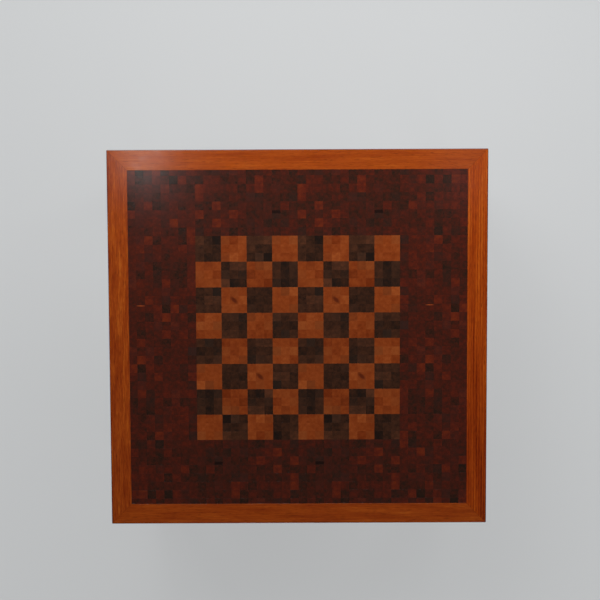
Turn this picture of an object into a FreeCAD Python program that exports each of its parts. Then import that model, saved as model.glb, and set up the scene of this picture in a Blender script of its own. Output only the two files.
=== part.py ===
import FreeCAD, Part
import os
import re
import Sketcher

# Low chess table. Its top is an end-grain mosaic: a board of eight by eight squares in a field of
# small blocks, laid on a core board and held in a mitred frame. Four legs tapered on their inner
# faces and four aprons carry it. Millimetres, +Z up, origin on the floor under the table's middle,
# the board's files along Y. Players sit at the left and right sides, -X and +X.

Vector = FreeCAD.Vector
UP = Vector(0, 0, 1)

doc = FreeCAD.newDocument("ChessTable")
nodes = []

# ---- Driving sizes ------------------------------------------------------------------------------

SIZES = [
    # mosaic
    ("block_width", 16.8, "one end-grain block, left to right"),
    ("block_depth", 16.9, "one end-grain block, front to back"),
    ("square_blocks", 3, "blocks along one side of a chess square"),
    ("board_squares", 8, "squares along one side of the board"),
    ("side_field", 133.0, "field of blocks left and right of the board"),
    ("end_field", 129.1, "field of blocks in front of and behind the board"),
    ("mosaic_thick", 6.0, "slices of the mosaic"),
    # core, backing and frame
    ("frame_width", 40.0, "mitred rail, seen from above"),
    ("frame_thick", 24.0, "mitred rail, top to bottom"),
    ("veneer_thick", 1.0, "backing veneer under the core"),
    ("tongue_thick", 6.0, "tongue round the core board"),
    ("tongue_length", 8.0, "reach of that tongue into the rails"),
    ("tongue_rise", 5.0, "from the core's underside to the tongue"),
    ("spline_thick", 4.0, "loose tongue across each mitre"),
    ("spline_length", 22.0, "loose tongue along the mitre"),
    ("spline_reach", 9.0, "loose tongue into each rail"),
    ("spline_rise", 10.0, "from the rail's underside to the loose tongue"),
    ("frame_arris", 1.5, "rounded upper outer edge of the rails, and their cut tips"),
    ("inner_arris", 0.4, "chamfer of the rails' upper inner edge, beside the mosaic"),
    ("lower_arris", 0.8, "chamfer of the lower outer edge of the rails"),
    # underframe
    ("table_height", 480.0, "floor to playing surface"),
    ("leg_width", 40.0, "leg at its top"),
    ("foot_width", 30.0, "leg at the floor, tapered on its two inner faces"),
    ("taper_drop", 20.0, "from the apron's lower edge to the start of the taper"),
    ("leg_inset", 3.0, "leg's outer face behind the frame's"),
    ("leg_arris", 1.5, "chamfer of the leg's four long edges"),
    ("foot_arris", 1.0, "chamfer round the foot"),
    ("apron_height", 55.0, "apron, top to bottom"),
    ("apron_thick", 20.0, "apron"),
    ("apron_inset", 4.0, "apron's outer face behind the leg's"),
    ("apron_arris", 1.0, "chamfer of the apron's lower edges"),
    ("tenon_thick", 9.0, "tenons of the aprons"),
    ("tenon_shoulder", 6.0, "shoulder below each tenon"),
    ("haunch_height", 10.0, "haunch above each tenon"),
    ("haunch_length", 8.0, "reach of the haunch into the leg"),
    ("end_room", 0.5, "room at the end of each tongue and tenon"),
    ("joint_gap", 0.1, "glue film round tongues and tenons"),
    # buttons that hold the top down
    ("button_width", 30.0, "wooden button along the apron"),
    ("button_screw_edge", 8.0, "from the frame's inner edge to the button's screw"),
    ("button_heel", 17.0, "from the screw to the button's far end"),
    ("button_thick", 16.0, "wooden button"),
    ("button_reach", 6.0, "button's tongue inside the apron's groove"),
    ("button_play", 1.0, "room between button and apron, and round its tongue"),
    ("button_spread", 300.0, "between the two buttons of an apron"),
    ("groove_drop", 8.0, "from the apron's upper edge to its groove"),
    ("groove_depth", 8.0, "groove into the apron"),
    ("groove_stop", 55.0, "from the leg to the groove's end"),
    # corner blocks
    ("block_height", 40.0, "corner block, top to bottom"),
    ("block_reach", 45.0, "corner block along each apron, from the leg"),
    ("block_end", 8.0, "blunt end of the corner block"),
    ("block_drop", 3.0, "corner block below the apron's upper edge"),
    # screws and glides
    ("shank_radius", 2.0, "wood screws"),
    ("head_radius", 4.0, "wood screws' heads"),
    ("head_depth", 2.6, "countersunk cone under the head"),
    ("screw_tip", 4.0, "tapered end of the screws"),
    ("tip_radius", 0.6, "blunt point of the screws"),
    ("screw_bite", 11.0, "screws beyond the button"),
    ("screw_gap", 0.1, "clearance round the screws and nails"),
    ("glide_radius", 10.0, "nylon glide under each leg"),
    ("glide_thick", 4.0, "nylon glide"),
    ("glide_arris", 1.0, "rounded lower edge of the glide"),
    ("nail_radius", 1.2, "nail of the glide"),
    ("nail_length", 16.0, "nail of the glide"),
]

sheet = doc.addObject("Spreadsheet::Sheet", "Sizes")
for row, (alias, number, note) in enumerate(SIZES, 1):
    sheet.set(f"A{row}", alias)
    sheet.set(f"B{row}", str(number))
    sheet.setAlias(f"B{row}", alias)
    sheet.set(f"C{row}", note)
doc.recompute()

# ---- Sizes that follow from them ----------------------------------------------------------------

FOLLOWS = {
    "square_width": "square_blocks*block_width",
    "square_depth": "square_blocks*block_depth",
    "board_width": "board_squares*square_width",
    "board_depth": "board_squares*square_depth",
    "opening_width": "board_width + 2*side_field",
    "opening_depth": "board_depth + 2*end_field",
    "table_width": "opening_width + 2*frame_width",
    "table_depth": "opening_depth + 2*frame_width",
    "top_underside": "table_height - frame_thick",
    "core_thick": "frame_thick - mosaic_thick - veneer_thick",
    "mosaic_underside": "table_height - mosaic_thick",
    "tongue_bottom": "veneer_thick + tongue_rise",
    "leg_length": "top_underside - glide_thick",
    "taper_top": "leg_length - apron_height - taper_drop",
    "tenon_near": "(apron_thick - tenon_thick)/2",
    "tenon_far": "(apron_thick + tenon_thick)/2",
    "tenon_height": "apron_height - tenon_shoulder - haunch_height",
    "mortise_near": "apron_inset + tenon_near - joint_gap",
    "mortise_far": "apron_inset + tenon_far + joint_gap",
    "mortise_bottom": "leg_length - apron_height + tenon_shoulder - joint_gap",
    "mortise_top": "leg_length - haunch_height + joint_gap",
    "haunch_bottom": "leg_length - haunch_height - joint_gap",
    "apron_bottom": "top_underside - apron_height",
    "tongue_of_button": "button_thick - groove_drop",
    "groove_height": "tongue_of_button + button_play",
    "button_screw": "frame_width + button_screw_edge",
    "button_face": "leg_inset + apron_inset + apron_thick + button_play",
    "button_toe": "button_screw - button_face",
    "block_face": "apron_inset + apron_thick",
    "block_tip": "leg_width + block_reach",
    "hole_radius": "shank_radius + screw_gap",
}


def bound(text):
    """The expression with each name as a cell of the sheet, or as what it follows from."""
    def swap(match):
        word = match.group(0)
        if word in FOLLOWS:
            return "(" + bound(FOLLOWS[word]) + ")"
        return "Sizes." + word
    return re.sub(r"(?<![\w.])(?!sqrt\b)[a-z]\w*", swap, str(text))


def value(text):
    """The number that an expression gives now."""
    return float(sheet.evalExpression(bound(text)))


# ---- Ways to build ------------------------------------------------------------------------------

def new_body(label):
    body = doc.addObject("PartDesign::Body", label)
    body.Label = label
    return body


def place(item, x, y, z, turn=0):
    """Set an object at a place that follows the sheet, turned about Z."""
    item.Placement = FreeCAD.Placement(Vector(), FreeCAD.Rotation(UP, turn))
    for axis, text in zip("xyz", (x, y, z)):
        item.setExpression(f"Placement.Base.{axis}", bound(text))
    return item


def new_sketch(body, name, role, lift):
    """A sketch on one of the body's own planes, moved along that plane's normal."""
    plane = next(item for item in body.Origin.OriginFeatures if item.Role == role)
    sketch = body.newObject("Sketcher::SketchObject", name)
    sketch.AttachmentSupport = [(plane, "")]
    sketch.MapMode = "FlatFace"
    sketch.setExpression("AttachmentOffset.Base.z", bound(lift))
    return sketch


def fix(sketch, edge, point, corner):
    """Hold a point of the sketch at its distances from the sketch's origin."""
    for kind, text in zip(("DistanceX", "DistanceY"), corner):
        number = sketch.addConstraint(Sketcher.Constraint(kind, edge, point, value(text)))
        sketch.setExpression(f"Constraints[{number}]", bound(text))


def outline(body, name, corners, role="XY_Plane", lift="0"):
    """A sketch of straight lines from corner to corner."""
    sketch = new_sketch(body, name, role, lift)
    places = [Vector(value(x), value(y), 0) for x, y in corners]
    for start, end in zip(places, places[1:] + places[:1]):
        sketch.addGeometry(Part.LineSegment(start, end), False)
    for side in range(len(corners)):
        joined = (side + 1) % len(corners)
        sketch.addConstraint(Sketcher.Constraint("Coincident", side, 2, joined, 1))
    for side, corner in enumerate(corners):
        fix(sketch, side, 1, corner)
    return sketch


def rectangle(body, name, low, high, role="XY_Plane", lift="0"):
    corners = [low, (high[0], low[1]), high, (low[0], high[1])]
    return outline(body, name, corners, role, lift)


def circles(body, name, centres, radius, role="XY_Plane", lift="0"):
    """A sketch of equal circles."""
    sketch = new_sketch(body, name, role, lift)
    for number, (x, y) in enumerate(centres):
        middle = Vector(value(x), value(y), 0)
        sketch.addGeometry(Part.Circle(middle, UP, value(radius)), False)
        fix(sketch, number, 3, (x, y))
        size = sketch.addConstraint(Sketcher.Constraint("Radius", number, value(radius)))
        sketch.setExpression(f"Constraints[{size}]", bound(radius))
    return sketch


def pad(body, sketch, length):
    feature = body.newObject("PartDesign::Pad", sketch.Name + "_pad")
    feature.Profile = sketch
    feature.setExpression("Length", bound(length))
    doc.recompute()
    return feature


def cut(body, kind, sketch, settings):
    """A feature that takes material away, with a test that it did."""
    before = body.Shape.Volume
    feature = body.newObject(kind, sketch.Name + "_cut")
    feature.Profile = sketch
    settings(feature)
    doc.recompute()
    if not body.Shape.Volume < before:
        raise RuntimeError(f"{body.Label}: {feature.Name} cuts nothing")
    return feature


def pocket(body, sketch, length, forward=False):
    """Cut against the sketch's normal, or along it where forward is set."""
    def settings(feature):
        feature.setExpression("Length", bound(length))
        feature.Reversed = forward
    return cut(body, "PartDesign::Pocket", sketch, settings)


def pocket_through(body, sketch, forward=False):
    def settings(feature):
        feature.Type = "ThroughAll"
        feature.Reversed = forward
    return cut(body, "PartDesign::Pocket", sketch, settings)


def groove_round(body, sketch):
    """Cut a turned hollow about the sketch's upright axis."""
    def settings(feature):
        feature.ReferenceAxis = (sketch, ["V_Axis"])
        feature.Angle = 360
    return cut(body, "PartDesign::Groove", sketch, settings)


def turned(body, sketch):
    feature = body.newObject("PartDesign::Revolution", sketch.Name + "_turned")
    feature.Profile = sketch
    feature.ReferenceAxis = (sketch, ["V_Axis"])
    feature.Angle = 360
    doc.recompute()
    return feature


def soften(body, kind, size_name, size, wanted):
    """Fillet or chamfer the edges of the body that pass a test."""
    tip = body.Tip
    names = [f"Edge{n}" for n, edge in enumerate(tip.Shape.Edges, 1) if wanted(edge)]
    feature = body.newObject(kind, f"{body.Name}_{size}")
    feature.Base = (tip, names)
    feature.setExpression(size_name, bound(size))
    doc.recompute()
    return feature


def near(first, second):
    return abs(first - second) < 0.001


def lies_at(edge, **where):
    """Whether the whole edge has the given coordinates, such as y=0."""
    box = edge.BoundBox
    return all(near(getattr(box, axis.upper() + end), number)
               for axis, number in where.items() for end in ("Min", "Max"))


def group(label, items):
    """Several solids of one kind as one sub-part."""
    compound = doc.addObject("Part::Compound", label)
    compound.Label = label
    compound.Links = items
    nodes.append(compound)


def copy_of(master, name):
    link = doc.addObject("App::Link", name)
    link.LinkedObject = master
    return link


def box(name, low, size):
    """A plain block whose corner and size follow the sheet."""
    block = doc.addObject("Part::Box", name)
    for side, text in zip(("Length", "Width", "Height"), size):
        block.setExpression(side, bound(text))
    return place(block, *low)


# ---- Places round the table ---------------------------------------------------------------------

# Each side and each corner is a quarter turn on from the one before it.
SIDES = ["front", "right", "back", "left"]
CORNERS = ["front_left", "front_right", "back_right", "back_left"]
SIDE_LENGTH = {"front": "table_width", "right": "table_depth",
               "back": "table_width", "left": "table_depth"}


def turn_of(name):
    """Degrees about Z that bring the front side, or the front left corner, to this one."""
    order = SIDES if name in SIDES else CORNERS
    return order.index(name) * 360 / len(order)


def on_side(side, along, inward):
    """A point so far along a side from its middle, and so far inward of its outer face."""
    return {
        "front": (f"({along})", f"-table_depth/2 + ({inward})"),
        "right": (f"table_width/2 - ({inward})", f"({along})"),
        "back": (f"0 - ({along})", f"table_depth/2 - ({inward})"),
        "left": (f"-table_width/2 + ({inward})", f"0 - ({along})"),
    }[side]


def from_corner(corner, along, across, inset="leg_inset"):
    """A point so far from the legs' outer corner, along the corner's own X and Y."""
    low_x, high_x = f"-table_width/2 + {inset}", f"table_width/2 - {inset}"
    low_y, high_y = f"-table_depth/2 + {inset}", f"table_depth/2 - {inset}"
    return {
        "front_left": (f"{low_x} + ({along})", f"{low_y} + ({across})"),
        "front_right": (f"{high_x} - ({across})", f"{low_y} + ({along})"),
        "back_right": (f"{high_x} - ({along})", f"{high_y} - ({across})"),
        "back_left": (f"{low_x} + ({across})", f"{high_y} - ({along})"),
    }[corner]


def button_places():
    """Each button's side and the place of its screw."""
    for side in SIDES:
        for along in ("-button_spread/2", "button_spread/2"):
            yield side, on_side(side, along, "button_screw")


# ---- Mosaic -------------------------------------------------------------------------------------

def chess_squares():
    """The squares, each nine blocks glued up. The near left one is light."""
    count = int(value("board_squares"))
    colours = {"light": [], "dark": []}
    for file in range(count):
        for rank in range(count):
            colour = "light" if (file + rank) % 2 == 0 else "dark"
            low = (f"({file} - board_squares/2)*square_width",
                   f"({rank} - board_squares/2)*square_depth", "mosaic_underside")
            size = ("square_width", "square_depth", "mosaic_thick")
            colours[colour].append(box(f"square_{file}_{rank}", low, size))
    group("chess_light_squares", colours["light"])
    group("chess_dark_squares", colours["dark"])


def field_slice(name, low, size):
    return box(name, low + ("mosaic_underside",), size + ("mosaic_thick",))


def field_slices():
    """The field: on each side of the board two slices, each half as long as it, and the corners."""
    ends = {"front": "-opening_depth/2", "back": "board_depth/2"}
    sides = {"left": "-opening_width/2", "right": "board_width/2"}
    for side, low_y in ends.items():
        group(f"field_slices_{side}", [
            field_slice(f"slice_{side}_{half}", (low_x, low_y), ("board_width/2", "end_field"))
            for half, low_x in (("left", "-board_width/2"), ("right", "0"))])
    for side, low_x in sides.items():
        group(f"field_slices_{side}", [
            field_slice(f"slice_{side}_{half}", (low_x, low_y), ("side_field", "board_depth/2"))
            for half, low_y in (("front", "-board_depth/2"), ("back", "0"))])
    group("field_slices_corner", [
        field_slice(f"slice_{end}_{side}", (low_x, low_y), ("side_field", "end_field"))
        for end, low_y in ends.items() for side, low_x in sides.items()])


# ---- Core board and backing ---------------------------------------------------------------------

def core_board():
    """The core, with a tongue all round and pilot holes for the buttons' screws."""
    body = new_body("core_board")
    half_x, half_y = "opening_width/2", "opening_depth/2"
    plate = rectangle(body, "core_plate", (f"-{half_x}", f"-{half_y}"), (half_x, half_y),
                      lift="veneer_thick")
    pad(body, plate, "core_thick")
    out_x, out_y = f"({half_x} + tongue_length)", f"({half_y} + tongue_length)"
    tongue = rectangle(body, "core_tongue", (f"-{out_x}", f"-{out_y}"), (out_x, out_y),
                       lift="tongue_bottom")
    pad(body, tongue, "tongue_thick")
    centres = [centre for side, centre in button_places()]
    holes = circles(body, "pilot_holes", centres, "hole_radius", lift="veneer_thick")
    pocket(body, holes, "screw_bite - veneer_thick + screw_gap", forward=True)
    nodes.append(place(body, "0", "0", "top_underside"))


def backing_veneer():
    body = new_body("backing_veneer")
    half_x, half_y = "opening_width/2", "opening_depth/2"
    sheet_outline = rectangle(body, "veneer_sheet", (f"-{half_x}", f"-{half_y}"), (half_x, half_y))
    pad(body, sheet_outline, "veneer_thick")
    centres = [centre for side, centre in button_places()]
    holes = circles(body, "veneer_holes", centres, "hole_radius", lift="veneer_thick")
    pocket_through(body, holes)
    nodes.append(place(body, "0", "0", "top_underside"))


# ---- Frame --------------------------------------------------------------------------------------

def spline_corners(end, room):
    """The loose tongue across a mitre in the rail's plan, with room all round it."""
    middle_x = f"({end}/2 - frame_width/2)"
    along = f"((spline_length/2 + {room})/sqrt(2))"
    across = f"((spline_reach + {room})/sqrt(2))"
    return [(f"{middle_x} + {along} + {across}", f"frame_width/2 - {along} + {across}"),
            (f"{middle_x} + {along} - {across}", f"frame_width/2 - {along} - {across}"),
            (f"{middle_x} - {along} - {across}", f"frame_width/2 + {along} - {across}"),
            (f"{middle_x} - {along} + {across}", f"frame_width/2 + {along} + {across}")]


def frame_rail(side):
    """A mitred rail. Its own X runs along it and its outer face is at y = 0."""
    length = SIDE_LENGTH[side]
    body = new_body(f"frame_rail_{side}")
    outer, tip, inner = (f"({length}/2 - {cut_back})" for cut_back in
                         ("frame_arris", "frame_arris/2", "frame_width"))
    plan = outline(body, f"rail_{side}_plan", [
        (f"-{outer}", "0"), (outer, "0"), (tip, "frame_arris/2"), (inner, "frame_width"),
        (f"-{inner}", "frame_width"), (f"-{tip}", "frame_arris/2")])
    pad(body, plan, "frame_thick")
    groove = rectangle(body, f"rail_{side}_groove",
                       (f"-{length}/2", "frame_width - tongue_length - end_room"),
                       (f"{length}/2", "frame_width + joint_gap"),
                       lift="tongue_bottom + tongue_thick + joint_gap")
    pocket(body, groove, "tongue_thick + 2*joint_gap")
    ends = spline_corners(length, "joint_gap")
    for end, corners in (("right", ends), ("left", [(f"0 - ({x})", y) for x, y in ends])):
        slot = outline(body, f"rail_{side}_{end}_slot", corners,
                       lift="spline_rise + spline_thick + joint_gap")
        pocket(body, slot, "spline_thick + 2*joint_gap")
    top, inner_line = value("frame_thick"), value("frame_width")
    soften(body, "PartDesign::Fillet", "Radius", "frame_arris",
           lambda edge: lies_at(edge, y=0, z=top))
    soften(body, "PartDesign::Chamfer", "Size", "lower_arris",
           lambda edge: lies_at(edge, y=0, z=0))
    soften(body, "PartDesign::Chamfer", "Size", "inner_arris",
           lambda edge: lies_at(edge, y=inner_line, z=top))
    x, y = on_side(side, "0", "0")
    nodes.append(place(body, x, y, "top_underside", turn_of(side)))


def mitre_splines():
    """Loose tongues across the four mitres. Each one's own X runs along its mitre."""
    master = new_body("spline_master")
    plate = rectangle(master, "spline_plan", ("-spline_length/2", "-spline_reach"),
                      ("spline_length/2", "spline_reach"))
    pad(master, plate, "spline_thick")
    splines = []
    for corner in CORNERS:
        x, y = from_corner(corner, "frame_width/2", "frame_width/2", inset="0")
        link = copy_of(master, f"spline_{corner}")
        splines.append(place(link, x, y, "top_underside + spline_rise", turn_of(corner) + 45))
    group("mitre_splines", splines)


# ---- Underframe ---------------------------------------------------------------------------------

def arrised_square(body, name, size, lift):
    """A square with one corner at the origin and all four corners cut off."""
    far = f"{size} - leg_arris"
    return outline(body, name, [
        ("leg_arris", "0"), (far, "0"), (size, "leg_arris"), (size, far),
        (far, size), ("leg_arris", size), ("0", far), ("0", "leg_arris")], lift=lift)


def leg(corner):
    """A leg with its outer corner at the origin, mortised for two aprons that meet inside it."""
    body = new_body(f"leg_{corner}")
    foot = arrised_square(body, f"{corner}_foot", "foot_width", "0")
    knee = arrised_square(body, f"{corner}_knee", "leg_width", "taper_top")
    taper = body.newObject("PartDesign::AdditiveLoft", f"{corner}_taper")
    taper.Profile = foot
    taper.Sections = [knee]
    taper.Ruled = True
    upper = arrised_square(body, f"{corner}_upper", "leg_width", "taper_top")
    pad(body, upper, "leg_length - taper_top")
    soften(body, "PartDesign::Chamfer", "Size", "foot_arris", lambda edge: lies_at(edge, z=0))
    cuts = (("mortise", "mortise_near - end_room", "mortise_bottom", "mortise_top"),
            ("haunch", "leg_width - haunch_length - end_room", "haunch_bottom", "leg_length"))
    for name, start, bottom, top in cuts:
        low, high = (start, "mortise_near"), ("leg_width", "mortise_far")
        for face, ends in (("side", (low, high)), ("end", (low[::-1], high[::-1]))):
            plan = rectangle(body, f"{corner}_{name}_{face}", *ends, lift=top)
            pocket(body, plan, f"{top} - {bottom}")
    nail_hole = circles(body, f"{corner}_nail_hole", [("foot_width/2", "foot_width/2")],
                        "nail_radius + screw_gap")
    pocket(body, nail_hole, "nail_length + screw_gap", forward=True)
    x, y = from_corner(corner, "0", "0")
    nodes.append(place(body, x, y, "glide_thick", turn_of(corner)))


def apron(side):
    """An apron with a haunched tenon, mitred at its end, at both ends. Outer face at y = 0."""
    body = new_body(f"apron_{side}")
    half = f"({SIDE_LENGTH[side]}/2 - leg_inset - leg_width)"
    board = rectangle(body, f"{side}_board", (f"-{half}", "0"), (half, "apron_thick"))
    pad(body, board, "apron_height")
    root = f"({half} - haunch_length)"
    end = f"({half} + leg_width - apron_inset - end_room"
    tenon = [(root, "tenon_near"), (f"{end} - tenon_near)", "tenon_near"),
             (f"{end} - tenon_far)", "tenon_far"), (root, "tenon_far")]
    haunch_end = f"({half} + haunch_length)"
    haunch = [(root, "tenon_near"), (haunch_end, "tenon_near"),
              (haunch_end, "tenon_far"), (root, "tenon_far")]
    for name, corners, lift, height in (
            ("tenon", tenon, "tenon_shoulder", "tenon_height"),
            ("haunch", haunch, "apron_height - haunch_height", "haunch_height")):
        for hand, sign in (("right", ""), ("left", "-")):
            plan = outline(body, f"{side}_{name}_{hand}",
                           [(f"{sign}({x})", y) for x, y in corners], lift=lift)
            pad(body, plan, height)
    stop = f"({half} - groove_stop)"
    groove = rectangle(body, f"{side}_groove", (f"-{stop}", "apron_thick - groove_depth"),
                       (stop, "apron_thick + joint_gap"), lift="apron_height - groove_drop")
    pocket(body, groove, "groove_height")
    soften(body, "PartDesign::Chamfer", "Size", "apron_arris",
           lambda edge: lies_at(edge, z=0) and edge.BoundBox.XLength > edge.BoundBox.YLength)
    x, y = on_side(side, "0", "leg_inset + apron_inset")
    nodes.append(place(body, x, y, "apron_bottom", turn_of(side)))


def corner_block(corner):
    """A block glued to both aprons, notched round the leg."""
    body = new_body(f"corner_block_{corner}")
    notch, blunt = "leg_width + joint_gap", "block_face + block_end"
    plan = outline(body, f"{corner}_block_plan", [
        (notch, "block_face"), ("block_tip", "block_face"), ("block_tip", blunt),
        (blunt, "block_tip"), ("block_face", "block_tip"), ("block_face", notch), (notch, notch)])
    pad(body, plan, "block_height")
    x, y = from_corner(corner, "0", "0")
    nodes.append(place(body, x, y, "top_underside - block_drop - block_height", turn_of(corner)))


# ---- Buttons, screws and glides -----------------------------------------------------------------

def top_buttons():
    """Rebated wooden buttons, each screwed to the core and hooked into an apron's groove.

    The master's origin is on the screw's axis, and its tongue points to -Y.
    """
    master = new_body("button_master")
    tip = "(button_toe + button_play + button_reach)"
    side_view = outline(master, "button_side", [
        (f"-{tip}", "0"), ("button_heel", "0"), ("button_heel", "button_thick"),
        ("-button_toe", "button_thick"), ("-button_toe", "tongue_of_button"),
        (f"-{tip}", "tongue_of_button")], "YZ_Plane", "-button_width/2")
    pad(master, side_view, "button_width")
    hollow = outline(master, "button_hole", [
        ("0", "0"), ("head_radius + screw_gap", "0"), ("hole_radius", "head_depth"),
        ("hole_radius", "button_thick"), ("0", "button_thick")], "XZ_Plane")
    groove_round(master, hollow)
    group("top_buttons", [
        place(copy_of(master, f"button_{number}"), x, y, "top_underside - button_thick",
              turn_of(side))
        for number, (side, (x, y)) in enumerate(button_places())])


def button_screws():
    """Countersunk wood screws, head down, through the buttons into the core."""
    master = new_body("button_screw_master")
    length = "(button_thick + screw_bite)"
    profile = outline(master, "button_screw_profile", [
        ("0", "0"), ("head_radius", "0"), ("shank_radius", "head_depth"),
        ("shank_radius", f"{length} - screw_tip"), ("tip_radius", length), ("0", length)],
        "XZ_Plane")
    turned(master, profile)
    group("button_screws", [
        place(copy_of(master, f"button_screw_{number}"), x, y, "top_underside - button_thick")
        for number, (side, (x, y)) in enumerate(button_places())])


def floor_glides():
    """Nylon glides, each with a nail up into the leg's foot."""
    master = new_body("glide_master")
    nail_top = "(glide_thick + nail_length)"
    profile = outline(master, "glide_profile", [
        ("0", "0"), ("glide_radius - glide_arris", "0"), ("glide_radius", "glide_arris"),
        ("glide_radius", "glide_thick"), ("nail_radius", "glide_thick"),
        ("nail_radius", nail_top), ("0", nail_top)], "XZ_Plane")
    turned(master, profile)
    glides = []
    for corner in CORNERS:
        x, y = from_corner(corner, "foot_width/2", "foot_width/2")
        glides.append(place(copy_of(master, f"glide_{corner}"), x, y, "0"))
    group("floor_glides", glides)


# ---- The table ----------------------------------------------------------------------------------

chess_squares()
field_slices()
core_board()
backing_veneer()
for side in SIDES:
    frame_rail(side)
mitre_splines()
for corner in CORNERS:
    leg(corner)
for side in SIDES:
    apron(side)
for corner in CORNERS:
    corner_block(corner)
top_buttons()
button_screws()
floor_glides()
doc.recompute()

failed = [item.Label for item in doc.Objects if {"Invalid", "Error"} & set(item.State)]
unsound = [node.Label for node in nodes if node.Shape.isNull() or not node.Shape.isValid()]
if failed or unsound:
    raise RuntimeError(f"failed: {failed}, unsound: {unsound}")

os.makedirs("parts", exist_ok=True)
for node in nodes:
    node.Shape.exportStep(f"parts/{node.Label}.step")
    print(node.Label, len(node.Shape.Solids), "solids", round(node.Shape.Volume / 1000, 1), "cm3")
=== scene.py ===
import math
import random
from contextlib import contextmanager

import bmesh
import bpy
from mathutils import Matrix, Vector


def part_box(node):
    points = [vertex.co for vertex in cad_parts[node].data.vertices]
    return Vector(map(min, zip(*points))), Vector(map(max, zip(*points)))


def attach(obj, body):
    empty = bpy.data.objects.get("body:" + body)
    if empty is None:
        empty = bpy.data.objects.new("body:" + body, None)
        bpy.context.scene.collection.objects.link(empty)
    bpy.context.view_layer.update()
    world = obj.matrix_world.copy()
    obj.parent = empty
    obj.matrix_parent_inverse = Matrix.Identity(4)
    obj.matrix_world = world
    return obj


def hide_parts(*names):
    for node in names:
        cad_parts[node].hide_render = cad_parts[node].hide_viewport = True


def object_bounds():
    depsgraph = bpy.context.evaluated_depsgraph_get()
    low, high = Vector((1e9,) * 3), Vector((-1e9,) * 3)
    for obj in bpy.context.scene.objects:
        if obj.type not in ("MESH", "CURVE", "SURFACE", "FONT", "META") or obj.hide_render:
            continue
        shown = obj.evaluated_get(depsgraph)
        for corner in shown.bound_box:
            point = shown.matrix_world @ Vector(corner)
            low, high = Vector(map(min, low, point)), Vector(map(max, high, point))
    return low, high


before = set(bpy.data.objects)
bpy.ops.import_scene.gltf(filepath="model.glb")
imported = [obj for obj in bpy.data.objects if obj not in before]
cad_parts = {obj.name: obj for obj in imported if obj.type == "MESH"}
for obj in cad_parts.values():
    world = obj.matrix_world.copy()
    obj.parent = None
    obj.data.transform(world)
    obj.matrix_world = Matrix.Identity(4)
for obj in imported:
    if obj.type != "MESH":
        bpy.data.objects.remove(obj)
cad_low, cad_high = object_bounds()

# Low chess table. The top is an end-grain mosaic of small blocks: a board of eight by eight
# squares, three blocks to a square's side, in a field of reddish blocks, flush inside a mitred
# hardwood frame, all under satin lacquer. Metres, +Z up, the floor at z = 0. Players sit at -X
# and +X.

MM = 0.001

# ---- Sizes of the mosaic ------------------------------------------------------------------------

SQUARES = 8                 # squares along one side of the board
SQUARE_BLOCKS = 3           # blocks along one side of a square
BOARD_BLOCKS = SQUARES * SQUARE_BLOCKS
FIELD_BLOCKS = 8            # columns or rows of field beside the board, the last cut at the frame
SHEET_BLOCKS = BOARD_BLOCKS + 2 * FIELD_BLOCKS
SLICE_BLOCKS = BOARD_BLOCKS // 2    # a slice of the glued-up log is half the board long
SIDE_SHIFT = 2              # sticks by which the left field slices begin farther into the log
RUN_BLOCKS = 3              # sticks in a row that were sawn from one board
BLOCK_ARRIS = 0.06 * MM     # softened edge of each block, which leaves a fine seam

light_low, light_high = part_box("chess_light_squares")
field_low, field_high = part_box("field_slices_corner")
block_width = (light_high.x - light_low.x) / BOARD_BLOCKS
block_depth = (light_high.y - light_low.y) / BOARD_BLOCKS
mosaic_thick = light_high.z - light_low.z
top_z = light_high.z

# ---- Camera and light ---------------------------------------------------------------------------

# The camera looks down on the top, as on a table tipped up to face the viewer.
CAMERA_PLACE = Vector((8.44, 193.87, 2452.72)) * MM
CAMERA_TURNS = (-3.4229, 0.1251, -0.2303)   # degrees of pitch, yaw and roll
CAMERA_LENS = 60            # mm, on a sensor 36 mm wide

BACKGROUND = "c8cacb"       # pale grey of the floor, and of the world where the camera sees it
FLOOR_SIZE = 30             # metres
FLOOR_GLOW = 0.65           # share of the floor's paleness that doesn't wait for the lamps
FLOOR_FADE = (1.3, 2.4)     # metres from the table over which the floor comes to glow all by itself
HORIZON_LEVEL = 0.6         # the world's strength at the horizon
ZENITH_LEVEL = 0.03         # and overhead, dim so that the lacquer stays clear
WORLD_FADE = (0.05, 0.55)   # upward part of a direction at which the world begins to dim and is dim
LAMPS = (
    # name, place, aimed at, width and depth in metres, watts
    ("window_lamp", (-0.78, 1.56, 2.45), (0, 0, 0.48), (1.3, 1.3), 31),
    ("back_lamp", (0.30, 1.25, 1.25), (0, 0.1, 0.48), (2.2, 0.6), 26),
    ("fill_lamp", (1.6, -2.4, 2.3), (0, 0, 0.3), (2.0, 2.0), 16),
    # three low lamps, which light the sides and don't reach the top
    ("front_lamp", (0.5, -2.6, 0.3), (0, 0, 0.3), (1.6, 0.3), 24),
    ("left_lamp", (-2.6, -0.5, 0.3), (0, 0, 0.3), (1.6, 0.3), 18),
    ("right_lamp", (2.6, 0.2, 0.3), (0, 0, 0.3), (1.6, 0.3), 14),
    # two narrow panes, whose reflections the lacquer spreads into a haze at the far corners
    ("left_pane", (-0.61, 0.73, 2.45), (-0.61, 0.73, 0), (0.12, 0.60), 1.1),
    ("right_pane", (0.64, 0.47, 2.45), (0.64, 0.47, 0), (0.18, 0.25), 0.055),
)


def linear(text):
    """A written sRGB colour as linear red, green, blue and alpha."""
    parts = [int(text[place:place + 2], 16) / 255 for place in (0, 2, 4)]
    return [part / 12.92 if part <= 0.04045 else ((part + 0.055) / 1.055) ** 2.4
            for part in parts] + [1.0]


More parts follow.
